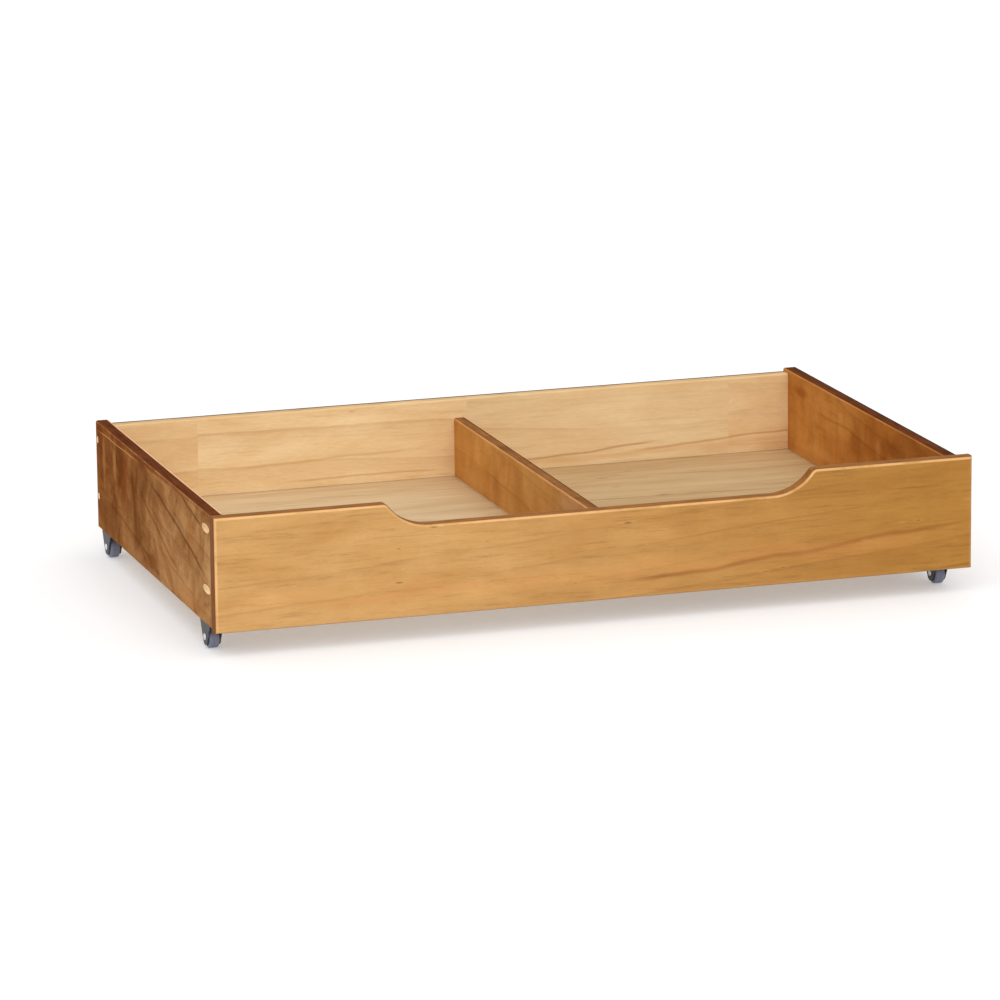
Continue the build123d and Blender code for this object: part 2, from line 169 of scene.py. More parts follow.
    def finish(self, color, rough, normal=None, **consts):
        b = self.bsdf
        self.put(b.inputs["Base Color"], color)
        self.put(b.inputs["Roughness"], rough)
        if normal is not None:
            self.put(b.inputs["Normal"], normal)
        for k, v in consts.items():
            b.inputs[k.replace("_", " ")].default_value = v
        return self.mat


def dress(node, mat):
    slots = NODES[node].material_slots
    if not slots:
        NODES[node].data.materials.append(mat)
    for s in slots:
        s.material = mat


# ---------------------------------------------------------------------------
# wood: growth rings round a pith line, fibres, mottling, pin flecks, stained
# edges, painted highlights on the rims.  u runs with the grain, v across the board, w
# through it.
# ---------------------------------------------------------------------------
def wood_fields(t, u, v, w, seed, ring_mm=22.0, pith=(-0.25, -0.06), slope=0.0,
                wander=0.012, wisp=(18.0, 320.0), ring_noise=0.5, mot=(7.0, 26.0)):
    s = seed * 7.31
    q = t.comb(t.add(u, s), t.add(v, s * 0.37), t.add(w, s * 0.61))

    def at(a, b, c=None):
        return t.v("MULTIPLY", q, (a, b, b if c is None else c))
    wan = t.sub(t.noise(at(3.0, 8.0), 2.0, 0.5), 0.5)
    v2 = t.add(t.mad(wan, wander * 2.0, v), t.mul(u, slope))
    dv = t.sub(v2, pith[0])
    dw = t.sub(w, pith[1])
    r = t.m("SQRT", t.add(t.mul(dv, dv), t.mul(dw, dw)))
    slow = t.noise(at(4.0, 20.0), 3.0, 0.5)
    phase = t.add(t.mul(r, 1000.0 / ring_mm), t.mul(slow, ring_noise))
    saw = t.m("FRACT", phase)
    per_ring = t.white(t.comb(t.m("FLOOR", phase), s, 0.0))
    late = t.mul(t.step(saw, 0.35, 0.93), t.step(saw, 0.95, 1.0, 1.0, 0.0))
    late = t.mul(late, t.mad(per_ring, 0.8, 0.2))
    line = t.mul(t.step(saw, 0.84, 0.95), t.step(saw, 0.965, 1.0, 1.0, 0.0))
    line = t.mul(line, t.mad(per_ring, 0.8, 0.2))
    patchy = t.step(t.noise(at(6.0, 12.0), 2.0, 0.5), 0.35, 0.65)
    line = t.mul(line, patchy)
    f1 = t.noise(at(*wisp), 3.0, 0.55, 0.35)
    f2 = t.noise(at(wisp[0] * 2.6, wisp[1] * 2.4), 2.0, 0.6)
    f3 = t.noise(at(wisp[0] * 9.0, wisp[1] * 7.0), 1.0, 0.5)
    m1 = t.noise(at(*mot), 3.0, 0.55, 0.5)
    m2 = t.noise(at(mot[0] * 3.0, mot[1] * 3.0), 2.0, 0.5, 0.8)
    return dict(q=q, at=at, late=late, line=line, f1=f1, f2=f2, f3=f3, mot=m1,
                mot2=m2, per_ring=per_ring)


def flecks(t, at, su, sv, keep, size, seed):
    """Short dark dashes with the grain, each with a paler halo."""
    d, c = t.voronoi(t.v("ADD", at(su, sv), (seed, seed * 2.0, seed * 3.0)))
    cr, cg, cb = t.sep(c)
    here = t.m("GREATER_THAN", cr, 1.0 - keep)
    big = t.mad(cg, 0.6 * size, 0.5 * size)
    core = t.mul(t.step(t.m("DIVIDE", d, big), 0.25, 1.0, 1.0, 0.0), here)
    halo = t.mul(t.step(t.m("DIVIDE", d, big), 0.9, 2.4, 1.0, 0.0), here)
    return core, halo


def streak(t, u, v, seed, u0, v0, u1, v1, half, bow=0.0):
    """A soft line that runs with the grain from (u0, v0) to (u1, v1)."""
    f = t.m("DIVIDE", t.sub(u, u0), u1 - u0)
    wob = t.noise(t.comb(t.mul(u, 11.0), t.mul(v, 9.0), seed), 2.0)
    c = t.mad(f, v1 - v0, v0)
    c = t.add(c, t.mul(t.mul(f, t.sub(1.0, f)), 4.0 * bow))
    c = t.add(c, t.mul(t.sub(wob, 0.5), 5.0 * half))
    d = t.ab(t.sub(v, c))
    m = t.mul(t.step(d, half * 1.4, 0.0), t.step(f, -0.02, 0.14))
    return t.mul(m, t.step(f, 1.02, 0.84))


def patch(t, u, v, warp, u0, v0, hu, hv):
    """A soft cloud of colour in the wood, hu by hv in half-size."""
    du = t.m("DIVIDE", t.sub(u, u0), hu)
    dv = t.m("DIVIDE", t.sub(v, v0), hv)
    d = t.m("SQRT", t.add(t.mul(du, du), t.mul(dv, dv)))
    d = t.add(d, warp)
    return t.step(d, 1.35, 0.25)


def masks(t):
    nx, ny, nz = t.sep(t.N)
    return nx, ny, nz, t.ab(nx), t.ab(ny), t.ab(nz)


def board(name, grain, seed, tones, stain, edge, end, rim_highlight_col, grad=None,
          out_tones=None, out_sign=0.0, out_grad=None, ring_mm=22.0,
          pith=(-0.25, -0.06), slope=0.0, wander=0.012, ring_k=0.10, line_k=0.3,
          wisp_k=0.30, wisp=(18.0, 320.0), mot=(7.0, 26.0), mot_k=1.0,
          bars=None, fleck=0.02, fleck_k=0.6, fleck_at=(52.0, 230.0), rim_highlight_k=0.6,
          blocks=None, pockets=(), bands=(), patches=(), rough=0.46, spec=0.12,
          coat=0.0, ring_noise=0.5, edge_split_highlight_dark=None, rim_breakup_lo=0.30,
          out_mot=(13.0, 12.0), rim_highlight_dir=None, pore_k=0.22, fine_k=0.13, inner_rim_highlight=None):
    """tones: (light, deep) at the low end of grad, then at its high end."""
    t = Tree(name)
    nx, ny, nz, ax, ay, az = masks(t)
    if grain == "x":
        u, v, w, n_end, n_face, n_side = t.x, t.z, t.y, ax, ay, ny
    else:
        u, v, w, n_end, n_face, n_side = t.y, t.z, t.x, ay, ax, nx
    u_raw, w_raw, tone, v_f = u, w, None, v
    if blocks:
        # finger-jointed lengths: each has its own grain and tone, and the
        # joint shows as a straight line on the face
        pitch, start = blocks
        bid = t.m("FLOOR", t.m("DIVIDE", t.sub(u, start), pitch))
        b1 = t.white(t.comb(bid, seed, 1.7))
        b2 = t.white(t.comb(bid, seed, 5.1))
        tone = t.sub(b1, 0.5)
        u = t.add(u, t.mul(b2, 3.7))
        w = t.add(w, t.mul(tone, 0.03))
        v_f = t.add(v, t.mul(t.sub(b2, 0.5), 0.08))
    F = wood_fields(t, u, v_f, w, seed, ring_mm, pith, slope, wander, wisp,
                    ring_noise, mot)

    def toned(tn, g, k):
        lt, dp = tn[0], tn[1]
        if len(tn) == 4:
            lt, dp = t.mix(g, tn[0], tn[2]), t.mix(g, tn[1], tn[3])
        return t.mix(k, lt, dp)

    def ramp_of(gr):
        if not gr:
            return 0.0
        cx, cy, cz, lo, hi = gr
        return t.step(t.v("DOT_PRODUCT", t.P, (cx, cy, cz)), lo, hi)

    k = t.m("ADD", t.mad(t.sub(F["mot"], 0.5), 2.4 * mot_k, 0.5),
            t.mul(t.sub(F["mot2"], 0.5), 0.5 * mot_k), clamp=True)
    col = toned(tones, ramp_of(grad), k)
    if bars:
        # soft figure across the grain, as on rippled or stained boards
        bu, bv, bk = bars
        b = t.noise(F["at"](bu, bv), 3.0, 0.55, 1.1)
        b = t.step(b, 0.36, 0.66)
        col = t.mix(t.mul(b, bk), col, stain)
    om = None
    if out_tones:
        om = t.step(t.mul(n_side, out_sign), 0.35, 0.75)
        ob = t.noise(F["at"](*out_mot), 3.0, 0.55, 1.6)
        ob2 = t.noise(F["at"](out_mot[0] * 3.1, out_mot[1] * 2.6), 3.0, 0.6, 0.8)
        ko = t.m("ADD", t.mad(t.sub(ob, 0.5), 3.0, 0.5),
                 t.mul(t.sub(ob2, 0.5), 0.9), clamp=True)
        col = t.mix(om, col, toned(out_tones, ramp_of(out_grad), ko))
        ln = t.mul(t.mul(F["line"], om), 0.15)
        col = t.mix(ln, col, stain)
        sp = t.noise(F["at"](150.0, 190.0), 3.0, 0.65, 0.4)
        col = t.mix(t.mul(t.mul(t.step(sp, 0.50, 0.68), om), 0.22), col, stain)
    if patches:
        wp = t.mul(t.sub(t.noise(F["at"](34.0, 34.0), 3.0, 0.6, 0.6), 0.5), 1.7)
        for (face, pu, pv, hu, hv, c, pk) in patches:
            m = t.mul(patch(t, u_raw, v, wp, pu, pv, hu, hv), pk)
            if face:
                m = t.mul(m, t.step(t.mul(n_side, face * (out_sign or 1.0)), 0.3, 0.8))
            col = t.mix(m, col, c)
    # rings and fibres take the stain
    col = t.mix(t.mul(F["late"], ring_k), col, stain)
    col = t.mix(t.mul(F["line"], line_k), col, stain)
    fib = t.add(t.mul(t.sub(F["f1"], 0.5), 1.3), t.mul(t.sub(F["f2"], 0.5), 0.6))
    col = t.mix(t.mul(t.step(fib, 0.04, 0.46), wisp_k), col, stain)
    col = t.scale_col(col, t.mad(fib, -0.45 * wisp_k, 1.0))
    col = t.scale_col(col, t.mad(t.sub(F["f3"], 0.5), -2.0 * fine_k, 1.0))
    if tone is not None:
        col = t.scale_col(col, t.mad(tone, 0.10, 1.0))
        col = t.mix(t.step(b2, 0.35, 0.9, 0.0, 0.30), col, tones[0])
    for i, (face, u0, v0, u1, v1, half, bow, c, bk) in enumerate(bands):
        m = t.mul(streak(t, u_raw, v, seed + i, u0, v0, u1, v1, half, bow), bk)
        if face:
            m = t.mul(m, t.step(t.mul(n_side, face * (out_sign or 1.0)), 0.3, 0.8))
        col = t.mix(m, col, c)
    pore, _ = flecks(t, F["at"], 140.0, 760.0, 0.16, 0.34, seed + 2.0)
    pore = t.mul(pore, t.step(F["f1"], 0.42, 0.62))
    col = t.mix(t.mul(pore, pore_k), col, stain)
    core, halo = flecks(t, F["at"], fleck_at[0], fleck_at[1], fleck, 0.30, seed)
    col = t.mix(t.mul(halo, 0.25 * fleck_k), col, tones[0])
    col = t.mix(t.mul(core, fleck_k), col, stain)

    # edges and ends are darker; the turn between face and edge gets a painted highlight,
    # broken up by noise
    em = t.step(n_face, 0.72, 0.44)
    fibre = t.noise(F["at"](26.0, 420.0), 3.0, 0.6, 0.3)
    e_c = t.mix(t.step(fibre, 0.35, 0.7), edge, tuple(c * 0.62 for c in edge[:3]) + (1.0,))
    if edge_split_highlight_dark:
        # one side of the top edge takes another colour: painted highlight on the inner rim
        # of the left side and the back; darker on the +x side of the right side and the
        # divider
        lo_w, hi_w, pale_e = edge_split_highlight_dark
        e_c = t.mix(t.step(w_raw, lo_w, hi_w), pale_e, e_c)
    e_c = t.scale_col(e_c, t.mad(t.sub(F["mot2"], 0.5), 0.7, 1.0))
    speck = t.noise(t.v("MULTIPLY", t.P, (900.0, 900.0, 900.0)), 1.0)
    n_c = t.scale_col(end, t.mad(t.sub(speck, 0.5), 0.5, 1.0))
    n_c = t.mix(t.mul(F["late"], 0.5), n_c, stain)
    e_c = t.mix(t.step(n_end, 0.6, 0.9), e_c, n_c)
    col = t.mix(em, col, e_c)
    rim_breakup = t.noise(F["at"](24.0, 24.0), 3.0, 0.65)
    rm = t.mul(t.step(n_face, 0.50, 0.72), t.step(n_face, 0.992, 0.93))
    rm = t.mul(rm, t.step(rim_breakup, rim_breakup_lo, rim_breakup_lo + 0.28, 0.25, 1.0))
    if rim_highlight_dir:
        rm = t.mul(rm, t.step(t.v("DOT_PRODUCT", t.N, rim_highlight_dir), -0.25, 0.25, 0.25, 1.0))
    col = t.mix(t.mul(rm, rim_highlight_k), col, rim_highlight_col)
    if inner_rim_highlight:
        # painted highlight over the whole turn of the inner top edge
        ir = t.mul(t.step(n_face, 0.06, 0.30), t.step(n_face, 0.995, 0.95))
        ir = t.mul(ir, t.mul(t.step(t.mul(n_side, out_sign), 0.0, -0.08),
                             t.step(nz, 0.04, 0.20)))
        ir = t.mul(ir, t.step(rim_breakup, 0.25, 0.50, 0.45, 1.0))
        col = t.mix(t.mul(ir, inner_rim_highlight[1]), col, inner_rim_highlight[0])

    # raw wood inside the slanted screw pockets, with painted shade deeper down each pocket
    raw = None
    deep = 0.0
    for (px, py, pz), (dx, dy, dz), pr in pockets:
        n = t.nt.nodes.new("ShaderNodeVectorMath")
        n.operation = "CROSS_PRODUCT"
        t.put(n.inputs[0], t.v("SUBTRACT", t.P, (px, py, pz)))
        t.put(n.inputs[1], (dx, dy, dz))
        near = t.step(t.length(n.outputs["Vector"]), pr + 0.0003, pr + 0.00005)
        raw = near if raw is None else t.mx(raw, near)
        down = t.v("DOT_PRODUCT", t.v("SUBTRACT", t.P, (px, py, pz)), (dx, dy, dz))
        deep = t.mx(deep, t.mul(near, t.step(down, -0.002, 0.020)))
    rg = t.mad(t.sub(F["f1"], 0.5), 0.20, rough)
    rg = t.add(rg, t.mul(t.sub(F["mot2"], 0.5), 0.10))
    rg = t.mad(em, 0.15, rg)
    if raw is not None:
        pale = t.mix(t.step(F["f1"], 0.35, 0.7), lin(252, 224, 182), lin(236, 198, 150))
        # painted shade: the raw wood darkens further down the pocket
        pale = t.mix(t.mul(deep, 0.6), pale, lin(150, 98, 52))
        col = t.mix(raw, col, pale)
        rg = t.mad(raw, 0.3, rg)
    h = t.add(t.mul(F["f1"], 0.6), t.add(t.mul(F["f2"], 0.5), t.mul(F["f3"], 0.3)))
    h = t.add(h, t.mul(F["late"], 0.4))
    h = t.sub(h, t.mul(core, 0.9))
    nrm = t.bump(h, 0.00010, 0.5)
    if coat:
        t.put(t.bsdf.inputs["Coat Weight"], t.mad(em, -coat, coat))
        t.bsdf.inputs["Coat Roughness"].default_value = 0.3
    return t.finish(col, rg, nrm, Specular_IOR_Level=spec)


def pocket_axes(side):
    a = math.radians(18.0)
    lo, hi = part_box("left_side_panel" if side == "left" else "right_side_panel")
    x_out = lo.x if side == "left" else hi.x
    d = (-math.sin(a), math.cos(a), 0.0) if side == "left" else \
        (math.sin(a), math.cos(a), 0.0)
    return [((x_out, -0.218, z), d, 0.00425) for z in (0.0662, 0.131)]


dress("front_panel", board(
    "front_pine_lacquer", "x", 1.3,
    (lin(202, 157, 100), lin(185, 137, 79), lin(171, 121, 55), lin(156, 106, 47)),
    # stain, edge, end colours, then the painted highlight colour for the rims
    lin(110, 64, 24), lin(152, 98, 44), lin(122, 72, 30), lin(238, 188, 130),
    # grad: yellower and lighter at the left end, darker orange-brown towards the right and a
    # little towards the top; partly the board's tone, partly painted light, brighter at the
    # left and shaded to the right
    grad=(1.0, 0.0, 0.35, -0.24, 0.44), ring_mm=26.0, pith=(-0.30, -0.10),
    slope=-0.09, wander=0.007, ring_k=0.10, line_k=0.36, wisp_k=0.30,
    wisp=(20.0, 330.0), mot=(9.0, 30.0), mot_k=0.9, fleck=0.030, fleck_k=0.65,
    # the painted rim highlight shows only where the rim faces up and to the left
    rim_highlight_k=0.60, rim_highlight_dir=(-0.7, 0.0, 0.7), spec=0.06, coat=0.03, pore_k=0.38,
    bars=(20.0, 5.0, 0.05),
    bands=((0, 0.02, 0.0445, 0.425, 0.0785, 0.0030, -0.002, lin(132, 78, 32), 0.62),
           (0, -0.42, 0.052, 0.42, 0.060, 0.010, 0.0, lin(206, 140, 80), 0.22))))

LIGHT_B, RED_B, DEEP_B = lin(176, 122, 72), lin(112, 56, 22), lin(92, 50, 22)
for side, sgn, sd in (("left", -1.0, 4.7), ("right", 1.0, 6.2)):
    dress(side + "_side_panel", board(
        side + "_side_pine_lacquer", "y", sd,
        (lin(178, 113, 50), lin(153, 90, 38), lin(205, 142, 73), lin(182, 114, 49)),
        # stain, edge, end colours, then the painted highlight colour for the rims
        lin(88, 44, 16), lin(108, 60, 34), lin(104, 58, 28), lin(218, 160, 112),
        grad=(0.0, 1.0, 0.0, -0.22, 0.16),
        out_tones=(lin(186, 140, 92), lin(140, 92, 50), lin(150, 96, 52), lin(104, 58, 27)),
        out_sign=sgn, out_grad=(0.0, 1.0, 1.4, -0.10, 0.36),
        ring_mm=30.0, pith=(-0.35, -0.50 if side == "left" else 0.30),
        slope=-0.14, wander=0.020, ring_k=0.14, line_k=0.16, wisp_k=0.18,
        wisp=(18.0, 150.0), mot=(14.0, 14.0), mot_k=1.2, bars=(26.0, 9.0, 0.12),
        fleck=0.01, fleck_k=0.4, rim_highlight_k=0.42, rim_breakup_lo=0.45, spec=0.0, rough=0.55,
        pockets=pocket_axes(side), ring_noise=1.1,
        # painted highlight on the inner top rim of the left side
        inner_rim_highlight=(lin(242, 196, 158), 0.85) if side == "left" else None,
        # left side: painted highlight on the inner half of the top edge; right side: darker
        # outer strip
        edge_split_highlight_dark=((-0.4052, -0.4060, lin(232, 184, 144)) if side == "left"
                    else (0.4010, 0.4002, lin(78, 56, 46))),
        patches=((1, 0.0, 0.1475, 0.30, 0.0050, RED_B, 0.70),
                 (1, 0.214, 0.113, 0.007, 0.030, LIGHT_B, 0.50),
                 (1, 0.166, 0.117, 0.008, 0.028, LIGHT_B, 0.60),
                 (1, 0.126, 0.100, 0.019, 0.036, RED_B, 0.65),
                 (1, 0.235, 0.142, 0.030, 0.006, RED_B, 0.60),
                 (1, 0.020, 0.118, 0.045, 0.014, DEEP_B, 0.35),
                 (1, 0.190, 0.052, 0.070, 0.022, DEEP_B, 0.22),
                 (1, -0.057, 0.061, 0.045, 0.018, LIGHT_B, 0.50),
                 (1, -0.150, 0.039, 0.060, 0.012, LIGHT_B, 0.60),
                 (1, -0.160, 0.110, 0.022, 0.016, LIGHT_B, 0.45),
                 (-1, 0.066, 0.122, 0.010, 0.018, lin(214, 150, 84), 0.40),
                 (-1, -0.046, 0.112, 0.008, 0.012, lin(206, 140, 80), 0.35),
                 (-1, 0.130, 0.072, 0.050, 0.010, lin(214, 152, 84), 0.45),
                 (-1, 0.120, 0.132, 0.030, 0.010, lin(206, 142, 74), 0.40),
                 (-1, 0.020, 0.104, 0.026, 0.030, lin(138, 74, 26), 0.50),
                 (-1, -0.092, 0.124, 0.036, 0.012, lin(126, 66, 24), 0.50),
                 (-1, 0.196, 0.131, 0.026, 0.006, lin(140, 78, 30), 0.55)),
        # first two bands: painted highlight, a pale line along the outer face just below the
        # rounded top edge
        bands=((1, 0.240, 0.1400, 0.060, 0.1405, 0.0007, 0.0, lin(206, 146, 94), 0.80),
               (1, 0.030, 0.1410, -0.070, 0.1410, 0.0006, 0.0, lin(190, 132, 82), 0.55),
               (1, 0.020, 0.130, -0.222, 0.074, 0.0026, 0.004, DEEP_B, 0.70),
               (1, 0.060, 0.110, -0.110, 0.060, 0.0030, -0.004, DEEP_B, 0.45),
               (1, -0.115, 0.145, -0.205, 0.128, 0.0022, 0.0, DEEP_B, 0.65),
               (1, 0.200, 0.070, 0.000, 0.040, 0.0030, 0.003, DEEP_B, 0.35),
               (-1, 0.150, 0.118, -0.150, 0.100, 0.0022, 0.004, DEEP_B, 0.25))))

dress("back_panel", board(
    "back_pine_lacquer", "x", 9.1,
    (lin(238, 211, 165), lin(224, 187, 134)),
    # stain, edge, end colours, then the painted highlight colour for the rims
    lin(176, 124, 70), lin(92, 70, 54), lin(120, 78, 42), lin(206, 170, 124),
    ring_mm=24.0, pith=(-0.20, -0.10), slope=0.02, wander=0.010, ring_k=0.14,
    line_k=0.22, wisp_k=0.20, wisp=(12.0, 210.0), mot=(8.0, 24.0), mot_k=1.0,
    fleck=0.012, fleck_k=0.4, blocks=(0.312, -0.306), rim_highlight_k=0.35, spec=0.08,
    # painted highlight on the front half of the top edge
    edge_split_highlight_dark=(0.2425, 0.2455, lin(206, 168, 120)),
    bands=((-1, 0.03, 0.0655, 0.24, 0.0775, 0.0016, 0.0, lin(172, 116, 64), 0.55),
           (-1, 0.20, 0.0690, 0.42, 0.0800, 0.0016, 0.0, lin(172, 116, 64), 0.50),
           (-1, 0.05, 0.0600, 0.40, 0.0700, 0.0040, 0.0, lin(212, 160, 104), 0.35),
           (-1, -0.20, 0.0640, -0.02, 0.0660, 0.0014, 0.0, lin(180, 126, 72), 0.40),
           (-1, -0.26, 0.0850, -0.05, 0.0900, 0.0018, 0.0, lin(196, 146, 92), 0.40))))

dress("divider", board(
    "divider_pine_lacquer", "y", 12.4,
    (lin(198, 147, 84), lin(172, 114, 57), lin(214, 158, 89), lin(194, 133, 67)),
    # stain, edge, end colours, then the painted highlight colour for the rims
    lin(116, 66, 26), lin(150, 100, 58), lin(124, 76, 42), lin(220, 166, 116),
    grad=(0.0, 1.0, 0.0, -0.2, 0.2), ring_mm=26.0, pith=(-0.25, -0.25),
    slope=-0.06, wander=0.012, ring_k=0.12, line_k=0.18, wisp_k=0.16,
    wisp=(18.0, 170.0), mot=(14.0, 10.0), mot_k=1.1, bars=(28.0, 8.0, 0.10),
    fleck=0.01, fleck_k=0.35, rim_highlight_k=0.55, spec=0.0, rough=0.5,
    # darker right-hand half of the top edge
    edge_split_highlight_dark=(0.0018, -0.0002, lin(104, 62, 38)),
    patches=((0, 0.150, 0.097, 0.012, 0.022, lin(216, 158, 92), 0.50),
             (0, 0.080, 0.072, 0.020, 0.022, lin(152, 94, 40), 0.35),
             (0, 0.006, 0.092, 0.018, 0.026, lin(154, 96, 42), 0.32),
             (0, -0.190, 0.110, 0.052, 0.040, lin(212, 164, 116), 0.55))))


# plywood floor: peeled veneer on both faces, plies on the hidden edges
def plywood():
    t = Tree("plywood_floor")
    nx, ny, nz, ax, ay, az = masks(t)
    F = wood_fields(t, t.x, t.y, t.z, 15.8, ring_mm=34.0, pith=(-0.9, -0.3),
                    slope=0.04, wander=0.030, wisp=(9.0, 210.0),
                    ring_noise=1.4, mot=(4.0, 22.0))
    k = t.m("ADD", t.mad(t.sub(F["mot"], 0.5), 2.0, 0.5),
            t.mul(t.sub(F["mot2"], 0.5), 0.8), clamp=True)
    # painted shade: the floor is darker right of the divider than left of it
    right_of_divider_shade = t.step(t.x, -0.14, 0.12)
    col = t.mix(k, t.mix(right_of_divider_shade, lin(218, 191, 152), lin(201, 171, 128)),
                t.mix(right_of_divider_shade, lin(200, 170, 128), lin(184, 151, 107)))
    dark = lin(140, 98, 60)
    col = t.mix(t.mul(F["late"], 0.16), col, dark)
    col = t.mix(t.mul(F["line"], 0.42), col, dark)
    fib = t.add(t.mul(t.sub(F["f1"], 0.5), 1.3), t.mul(t.sub(F["f2"], 0.5), 0.7))
    col = t.mix(t.mul(t.step(fib, 0.05, 0.45), 0.36), col, dark)
    col = t.scale_col(col, t.mad(fib, -0.16, 1.0))
    core, halo = flecks(t, F["at"], 26.0, 120.0, 0.05, 0.34, 3.3)
    col = t.mix(t.mul(core, 0.6), col, lin(110, 70, 40))
    # plies on the edges
    ply = t.m("PINGPONG", t.sub(t.z, 0.051), 0.001)
    edge = t.mix(t.step(ply, 0.0003, 0.0007), lin(196, 152, 102), lin(150, 104, 60))
    col = t.mix(t.step(az, 0.9, 0.5), col, edge)
    # a soft dark line along the boards and the divider: painted contact shade, with some
    # dust
    near = t.sub(0.235, t.ab(t.y))
    near = t.mn(near, t.sub(t.x, -0.40285))
    near = t.mn(near, t.sub(0.390, t.x))
    near = t.mn(near, t.sub(t.ab(t.sub(t.x, -0.0025)), 0.0065))
    contact_shade_dust = t.mul(t.step(near, 0.006, 0.0), t.step(nz, 0.3, 0.8))
    col = t.scale_col(col, t.mad(contact_shade_dust, -0.22, 1.0))
    h = t.add(t.mul(F["f1"], 0.6), t.mul(F["f2"], 0.5))
    h = t.sub(h, core)
    nrm = t.bump(h, 0.00015, 0.6)
    rg = t.mad(t.sub(F["f1"], 0.5), 0.2, 0.66)
    return t.finish(col, rg, nrm, Specular_IOR_Level=0.12)


dress("bottom_panel", plywood())


# raw pale wood of plugs and dowels
def pale_wood():
    t = Tree("raw_pale_wood")
    q = t.v("MULTIPLY", t.P, (700.0, 220.0, 220.0))
    ringd = t.length(t.v("MULTIPLY", t.v("ADD", t.P, (0.0, 0.03, 0.02)), (0.0, 1.0, 1.0)))
    rings = t.m("FRACT", t.mul(ringd, 700.0))
    n = t.noise(q, 3.0, 0.6)
    col = t.mix(t.step(rings, 0.5, 0.95), lin(232, 192, 146), lin(198, 148, 98))
    col = t.scale_col(col, t.mad(t.sub(n, 0.5), 0.4, 1.0))
    return t.finish(col, t.mad(n, 0.2, 0.5), t.bump(n, 0.0001, 0.5),
                    Coat_Weight=0.1, Coat_Roughness=0.35)


PALE = pale_wood()
dress("rear_screw_plugs", PALE)
dress("divider_dowels", PALE)


def zinc(name, tint, lo=0.22, hi=0.42):
    """Plated steel: fine blotches, faint brushing."""
    t = Tree(name)
    spot = t.noise(t.v("MULTIPLY", t.P, (900.0, 900.0, 900.0)), 3.0, 0.6)
    brush = t.noise(t.v("MULTIPLY", t.P, (300.0, 300.0, 4000.0)), 2.0, 0.6)
    col = t.mix(t.step(spot, 0.35, 0.7), tint, tuple(c * 0.72 for c in tint[:3]) + (1.0,))
    rg = t.mad(spot, hi - lo, lo)
    rg = t.mad(t.sub(brush, 0.5), 0.12, rg)
    return t.finish(col, rg, t.bump(t.add(spot, brush), 0.00003, 0.35),
                    Metallic=1.0)


ZINC = zinc("zinc_plated_screws", lin(206, 202, 186))
for n in ("pocket_screws", "rear_screws", "divider_screws", "caster_screws"):
    dress(n, ZINC)
RIVET = zinc("nickel_rivet", lin(226, 226, 230), 0.16, 0.30)


def bracket_paint():
    t = Tree("bracket_black_coat")
    nx, ny, nz, ax, ay, az = masks(t)
    rim = t.step(t.mx(ax, t.mx(ay, az)), 0.985, 0.86)
    big = t.noise(t.v("MULTIPLY", t.P, (140.0, 140.0, 140.0)), 3.0, 0.6)
    fine = t.noise(t.v("MULTIPLY", t.P, (1600.0, 1600.0, 1600.0)), 2.0, 0.6)
    col = t.mix(big, lin(34, 37, 41), lin(52, 57, 63))
    col = t.scale_col(col, t.mad(t.sub(fine, 0.5), 0.4, 1.0))
    worn = t.mul(rim, t.step(t.noise(t.v("MULTIPLY", t.P, (420.0, 420.0, 420.0)), 3.0, 0.65),
                             0.42, 0.62))
    col = t.mix(t.mul(worn, 0.6), col, lin(120, 122, 124))
    rg = t.mad(fine, 0.22, 0.34)
    n = t.bump(fine, 0.00006, 0.5)
    return t.finish(col, rg, n, Specular_IOR_Level=0.30)


def wheel_plastic():
    t = Tree("wheel_blue_grey_plastic")
    rear = t.m("GREATER_THAN", t.y, 0.0)
    ly = t.sub(t.add(t.y, 0.2025), t.mul(rear, 0.42))
    lz = t.sub(t.z, 0.012)
    rad = t.m("SQRT", t.add(t.mul(ly, ly), t.mul(lz, lz)))
    right = t.m("GREATER_THAN", t.x, 0.0)
    lx = t.sub(t.add(t.x, 0.4093), t.mul(right, 0.80575))
    ang = t.m("ARCTAN2", ly, lz)
    fine = t.noise(t.v("MULTIPLY", t.P, (1500.0, 1500.0, 1500.0)), 2.0, 0.6)
    big = t.noise(t.v("MULTIPLY", t.P, (260.0, 260.0, 260.0)), 3.0, 0.6)
    col = t.mix(big, lin(88, 93, 114), lin(112, 117, 138))
    # tread: scuffed, dusty, with a parting line round its middle
    tread = t.step(rad, 0.0104, 0.0117)
    scuff = t.noise(t.comb(t.mul(lx, 900.0), t.mul(ang, 9.0), t.mul(rad, 100.0)), 4.0, 0.65)
    col = t.mix(t.mul(tread, t.step(scuff, 0.45, 0.7, 0.0, 0.5)), col, lin(150, 146, 140))
    col = t.mix(t.mul(tread, t.step(scuff, 0.5, 0.2, 0.0, 0.45)), col, lin(70, 70, 84))
    seam = t.mul(tread, t.step(t.ab(lx), 0.00012, 0.0003, 1.0, 0.0))
    hub = t.step(rad, 0.0046, 0.0052, 1.0, 0.0)
    col = t.mix(t.mul(hub, 0.35), col, lin(84, 86, 102))
    h = t.add(t.mul(fine, 0.4), t.mul(t.mul(scuff, tread), 0.6))
    h = t.add(h, seam)
    rg = t.mad(fine, 0.16, 0.32)
    rg = t.mad(tread, 0.10, rg)
    return t.finish(col, rg, t.bump(h, 0.00008, 0.6), Specular_IOR_Level=0.5)


BRACKET, WHEEL = bracket_paint(), wheel_plastic()
for c in ("front_left", "front_right", "rear_left", "rear_right"):
    dress(c + "_caster_bracket", BRACKET)
    dress(c + "_wheel", WHEEL)
    dress(c + "_axle", RIVET)


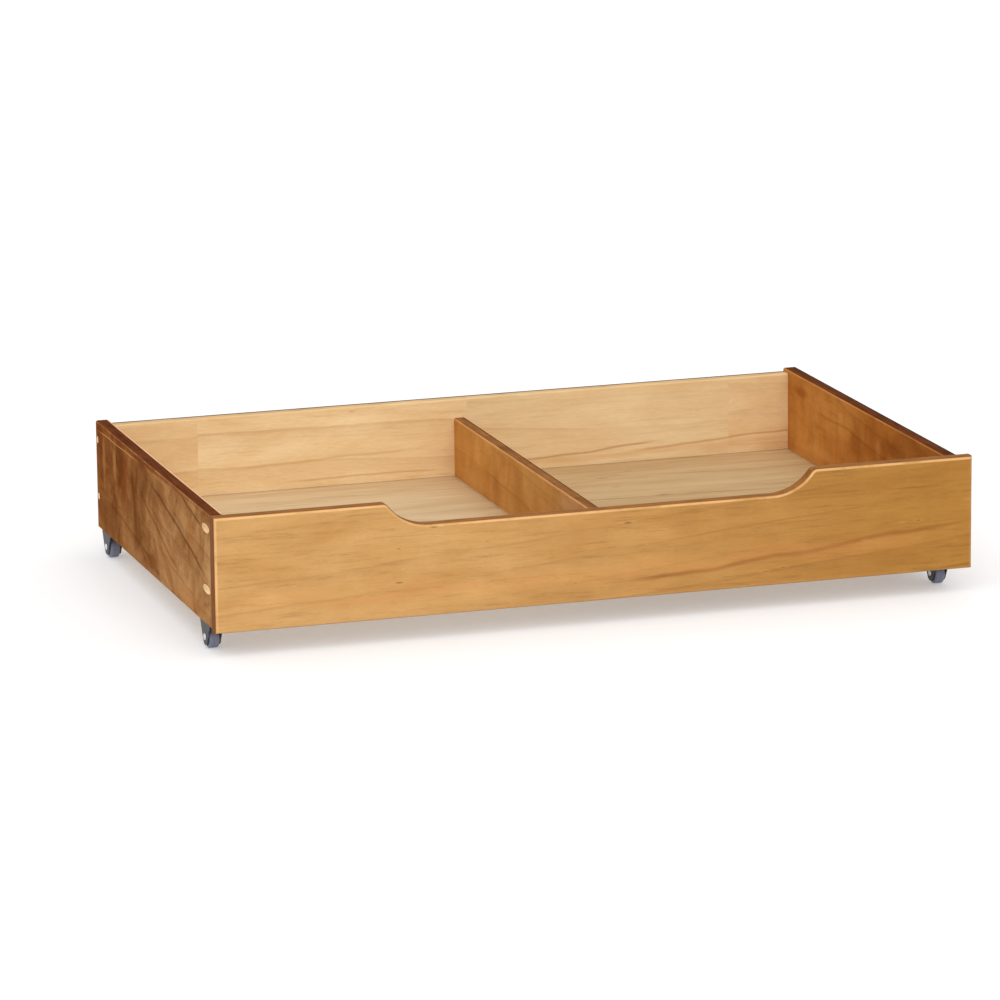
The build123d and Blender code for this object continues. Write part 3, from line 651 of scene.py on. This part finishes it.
# ---------------------------------------------------------------------------
# stage: pale floor, soft lights, camera
# ---------------------------------------------------------------------------
def floor():
    t = Tree("studio_floor")
    n = t.noise(t.v("MULTIPLY", t.P, (3.0, 3.0, 3.0)), 3.0)
    col = t.mix(n, lin(214, 214, 215), lin(218, 218, 218))
    # a light table: it glows a little, so that the shadow stays pale
    mat = t.finish(col, 0.75, None, Emission_Color=(1.0, 1.0, 1.0, 1.0),
                   Emission_Strength=0.30)
    me = bpy.data.meshes.new("studio_floor")
    s = 30.0
    me.from_pydata([(-s, -s, 0), (s, -s, 0), (s, s, 0), (-s, s, 0)], [], [(0, 1, 2, 3)])
    me.materials.append(mat)
    o = bpy.data.objects.new("studio_floor", me)
    bpy.context.scene.collection.objects.link(o)


floor()


def aimed(o, pos, target):
    o.location = pos
    o.rotation_mode = "QUATERNION"
    o.rotation_quaternion = (Vector(target) - Vector(pos)).to_track_quat("-Z", "Y")
    bpy.context.scene.collection.objects.link(o)


def area(name, pos, target, size, power):
    li = bpy.data.lights.new(name, "AREA")
    li.shape = "RECTANGLE"
    li.size, li.size_y = size
    li.energy = power
    aimed(bpy.data.objects.new(name, li), pos, target)


def sun(name, pos, strength, spread):
    li = bpy.data.lights.new(name, "SUN")
    li.energy = strength
    li.angle = math.radians(spread)
    aimed(bpy.data.objects.new(name, li), pos, (0, 0, 0))


sun("broad_top", (-0.5, -1.2, 2.2), 1.05, 70.0)
area("front_soft", (-0.4, -3.4, 1.3), (0, 0, 0.08), (2.6, 1.4), 22)

world = bpy.data.worlds.new("studio_world")
world.use_nodes = True
bg = world.node_tree.nodes["Background"]
bg.inputs["Color"].default_value = (1.0, 1.0, 1.0, 1.0)
bg.inputs["Strength"].default_value = 0.80
bpy.context.scene.world = world

scene = bpy.context.scene
scene.view_settings.view_transform = "Standard"
scene.view_settings.look = "None"
scene.view_settings.exposure = 0.0
scene.view_settings.gamma = 1.0

CAM = (-1.8792, -5.8043, 1.5064)
YAW, PITCH, ROLL, FOCAL = 0.3083, 0.2298, -0.0100, 5775.2
cam_data = bpy.data.cameras.new("camera")
cam_data.sensor_width = 36.0
cam_data.lens = FOCAL * 36.0 / 1000.0
cam_data.clip_start, cam_data.clip_end = 0.05, 200.0
cam = bpy.data.objects.new("camera", cam_data)
fw = Vector((math.sin(YAW) * math.cos(PITCH), math.cos(YAW) * math.cos(PITCH),
             -math.sin(PITCH)))
right = fw.cross(Vector((0, 0, 1))).normalized()
up = right.cross(fw)
r2 = right * math.cos(ROLL) + up * math.sin(ROLL)
u2 = -right * math.sin(ROLL) + up * math.cos(ROLL)
cam.matrix_world = Matrix((
    (r2.x, u2.x, -fw.x, CAM[0]),
    (r2.y, u2.y, -fw.y, CAM[1]),
    (r2.z, u2.z, -fw.z, CAM[2]),
    (0, 0, 0, 1)))
scene.collection.objects.link(cam)
scene.camera = cam

bpy.context.view_layer.update()
